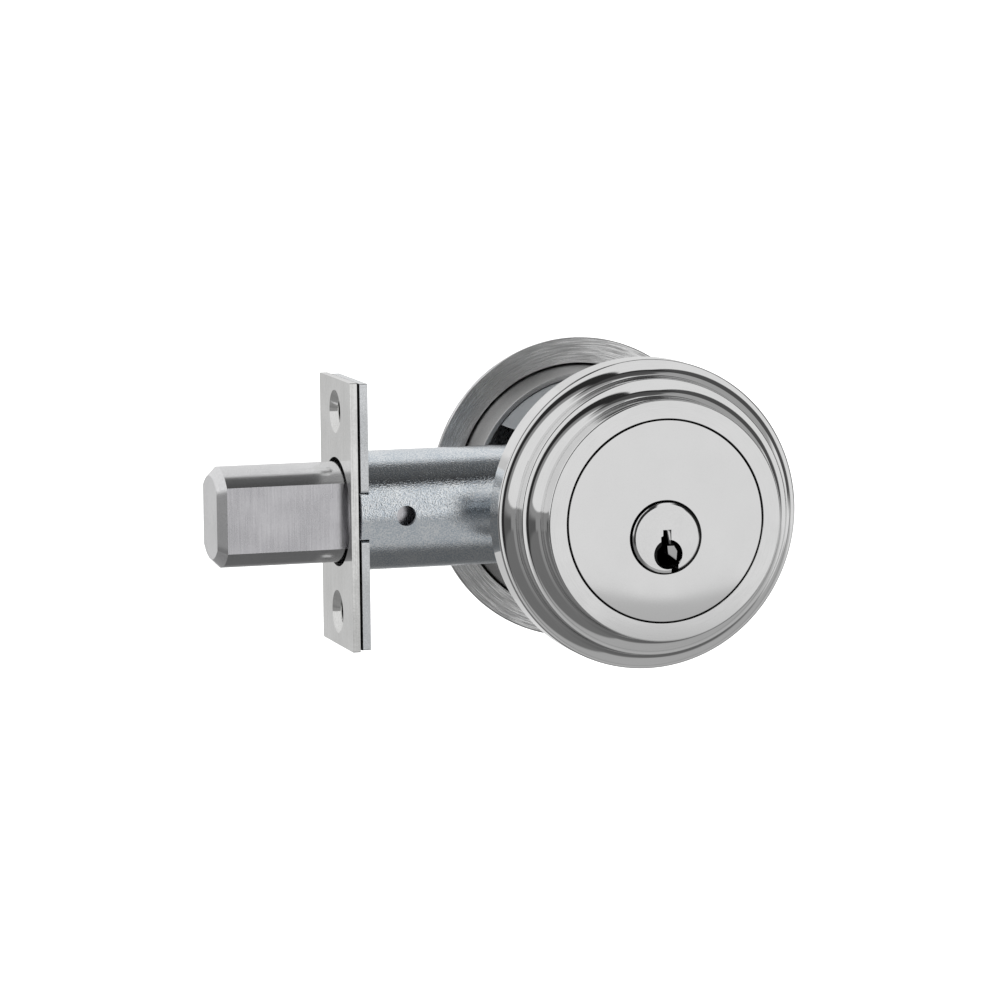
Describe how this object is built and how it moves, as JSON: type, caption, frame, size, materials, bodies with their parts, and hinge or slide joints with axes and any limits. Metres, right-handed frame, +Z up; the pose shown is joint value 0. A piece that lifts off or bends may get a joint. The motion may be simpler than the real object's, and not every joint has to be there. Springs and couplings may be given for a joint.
{
  "type": "deadbolt door lock",
  "caption": "Tubular deadbolt with a keyed cylinder in a stepped round collar, thumb turn on a domed rose, and a throwing bolt behind a square-cornered faceplate.",
  "frame": {"origin": "where the bolt axis meets the door-bore axis, halfway through a 44.45 mm door", "axes": "+X away from the door edge, so the bolt points to -X; +Y towards the inside of the room, so the key side faces -Y; +Z up"},
  "size_m": [0.1209, 0.0942, 0.066],
  "materials": {
    "polished_collar": "polished nickel plate on brass",
    "polished_face": "fine satin nickel plate",
    "satin_nickel": "satin nickel plate",
    "ground_steel": "cross-ground hardened steel",
    "brushed_rose": "turned and brushed nickel plate",
    "zinc_plate": "bright zinc plate",
    "cast_zinc": "die-cast zinc, unpolished",
    "bright_steel": "bright drawn steel",
    "spring_steel": "spring steel",
    "brass": "plain brass"
  },
  "bodies": {
    "lock_case": {"exterior_collar": "polished_collar", "cylinder_body": "polished_face", "support_plate": "zinc_plate", "collar_snap_ring": "spring_steel", "mounting_post_1": "bright_steel", "mounting_post_2": "bright_steel", "driver_pin_1": "bright_steel", "driver_pin_2": "bright_steel", "driver_pin_3": "bright_steel", "driver_pin_4": "bright_steel", "driver_pin_5": "bright_steel", "driver_pin_6": "bright_steel", "driver_spring_1": "spring_steel", "driver_spring_2": "spring_steel", "driver_spring_3": "spring_steel", "driver_spring_4": "spring_steel", "driver_spring_5": "spring_steel", "driver_spring_6": "spring_steel", "chamber_cover": "brass", "faceplate": "satin_nickel", "backing_plate": "zinc_plate", "bolt_sleeve": "zinc_plate", "side_plate_near": "zinc_plate", "side_plate_far": "zinc_plate", "sleeve_rivet_1": "bright_steel", "sleeve_rivet_2": "bright_steel", "frame_rivet_1": "bright_steel", "frame_rivet_2": "bright_steel", "frame_rivet_3": "bright_steel", "detent_spring": "spring_steel", "interior_rose": "brushed_rose", "locating_ring": "cast_zinc", "mounting_plate": "zinc_plate", "mounting_screw_1": "bright_steel", "mounting_screw_2": "bright_steel", "rose_set_screw": "bright_steel"},
    "key_plug": {"cylinder_plug": "polished_face", "key_pin_1": "brass", "key_pin_2": "brass", "key_pin_3": "brass", "key_pin_4": "brass", "key_pin_5": "brass", "key_pin_6": "brass", "sidebar": "bright_steel", "sidebar_spring_1": "spring_steel", "sidebar_spring_2": "spring_steel", "plug_cam": "brass"},
    "sliding_bolt": {"bolt": "ground_steel", "link_plate_near": "zinc_plate", "link_plate_far": "zinc_plate", "link_pin": "bright_steel"},
    "saw_roller": {"saw_roller": "bright_steel"},
    "turn_train": {"hub_cam": "cast_zinc", "tailpiece": "brass", "tailpiece_driver": "brass", "turn_spindle": "bright_steel", "spindle_clip": "spring_steel", "turn_washer": "spring_steel", "thumb_turn": "brushed_rose"}
  },
  "joints": [
    {"name": "thumb_turn_rotation", "type": "hinge", "parent": "lock_case", "child": "turn_train", "pos_m": [0, 0.034, -0.0034], "axis": [0, 1, 0], "range_deg": [0, 90]},
    {"name": "bolt_throw", "type": "slide", "parent": "lock_case", "child": "sliding_bolt", "axis": [1, 0, 0], "range_m": [0, 0.02673]},
    {"name": "key_plug_rotation", "type": "hinge", "parent": "lock_case", "child": "key_plug", "pos_m": [0, -0.03, -0.0034], "axis": [0, 1, 0], "range_deg": [-90, 90]},
    {"name": "saw_roller_spin", "type": "hinge", "parent": "sliding_bolt", "child": "saw_roller", "pos_m": [-0.0658, 0, 0], "axis": [1, 0, 0], "continuous": true}
  ],
  "couplings": [
    {"joint": "thumb_turn_rotation", "follows": "bolt_throw", "rad_per_m": 58.768}
  ]
}
